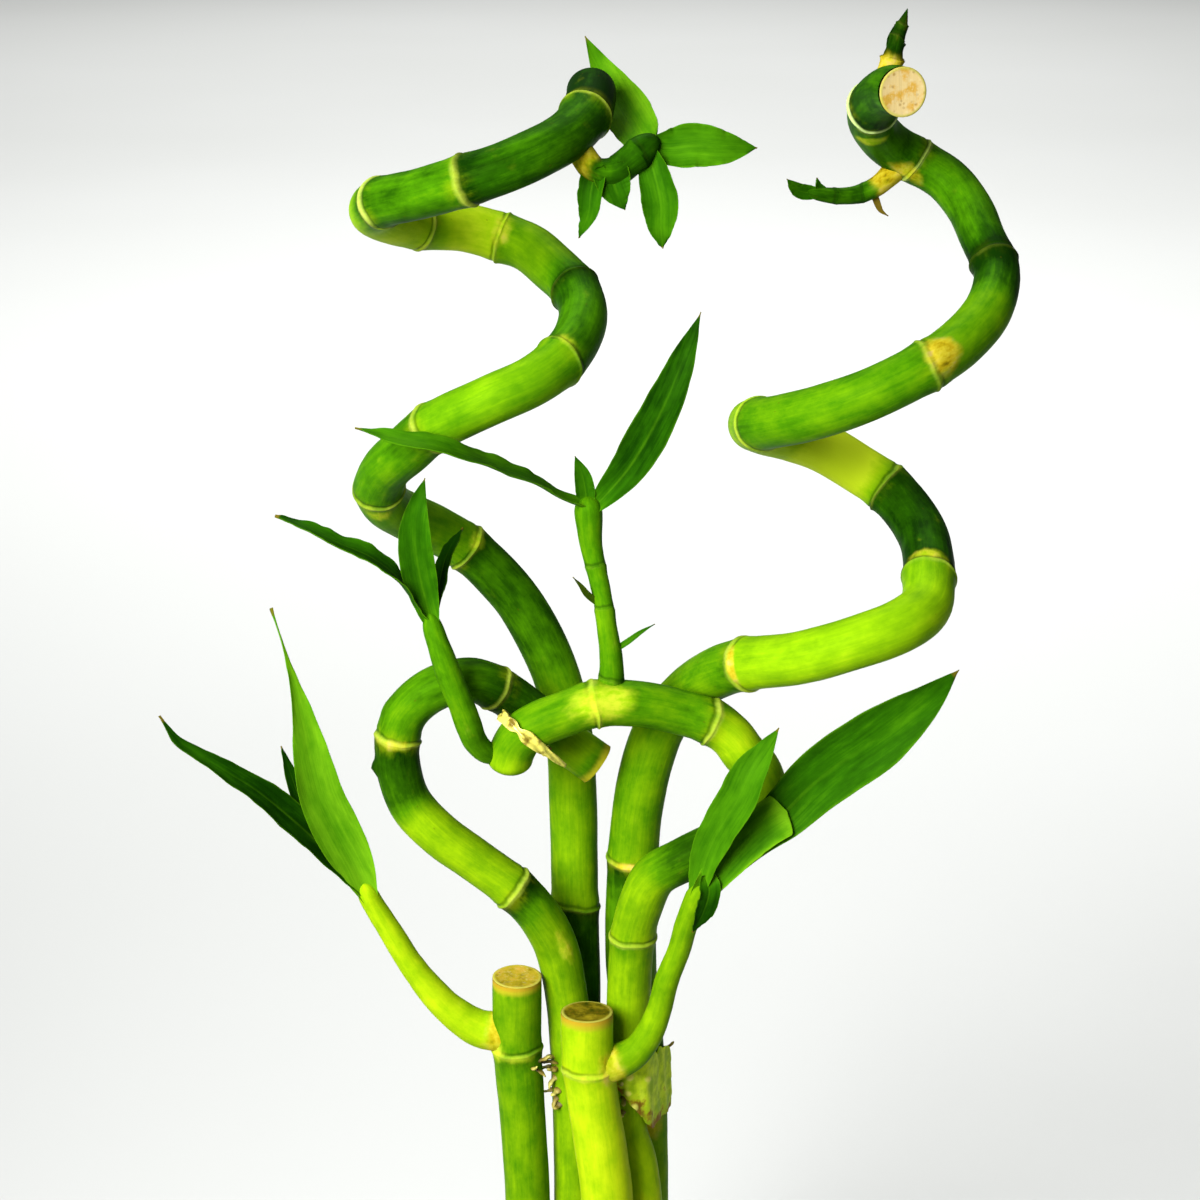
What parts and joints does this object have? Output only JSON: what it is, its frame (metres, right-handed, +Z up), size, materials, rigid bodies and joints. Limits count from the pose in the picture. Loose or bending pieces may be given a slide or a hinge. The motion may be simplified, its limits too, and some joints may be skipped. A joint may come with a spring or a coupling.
{
  "type": "potted lucky bamboo",
  "caption": "Lucky bamboo with spiral canes, a heart of bent canes, short cut canes and leafy side shoots, standing in pebbles in a plain round vase.",
  "frame": {"origin": "centre of the vase's foot, on the surface that it stands on", "axes": "+Z up, -Y towards the front, where the heart and the short cut canes show, +X to the viewer's right"},
  "size_m": [0.2111, 0.086, 0.4332],
  "materials": {
    "vase": "gloss",
    "pebbles": "satin",
    "cane": "satin",
    "leaf": "satin",
    "tie": "satin"
  },
  "bodies": {
    "root": {"vase": "vase", "pebble_bed": "pebbles", "left_spiral_cane": "cane", "right_spiral_cane": "cane", "left_heart_cane": "cane", "right_heart_cane": "cane", "left_short_cane": "cane", "front_short_cane": "cane", "left_shoot": "leaf", "heart_shoot": "leaf", "centre_shoot": "leaf", "right_shoot": "leaf", "left_spiral_shoot": "leaf", "right_spiral_shoot": "leaf", "right_spiral_bud": "leaf", "gilt_tie": "tie"}
  },
  "joints": []
}
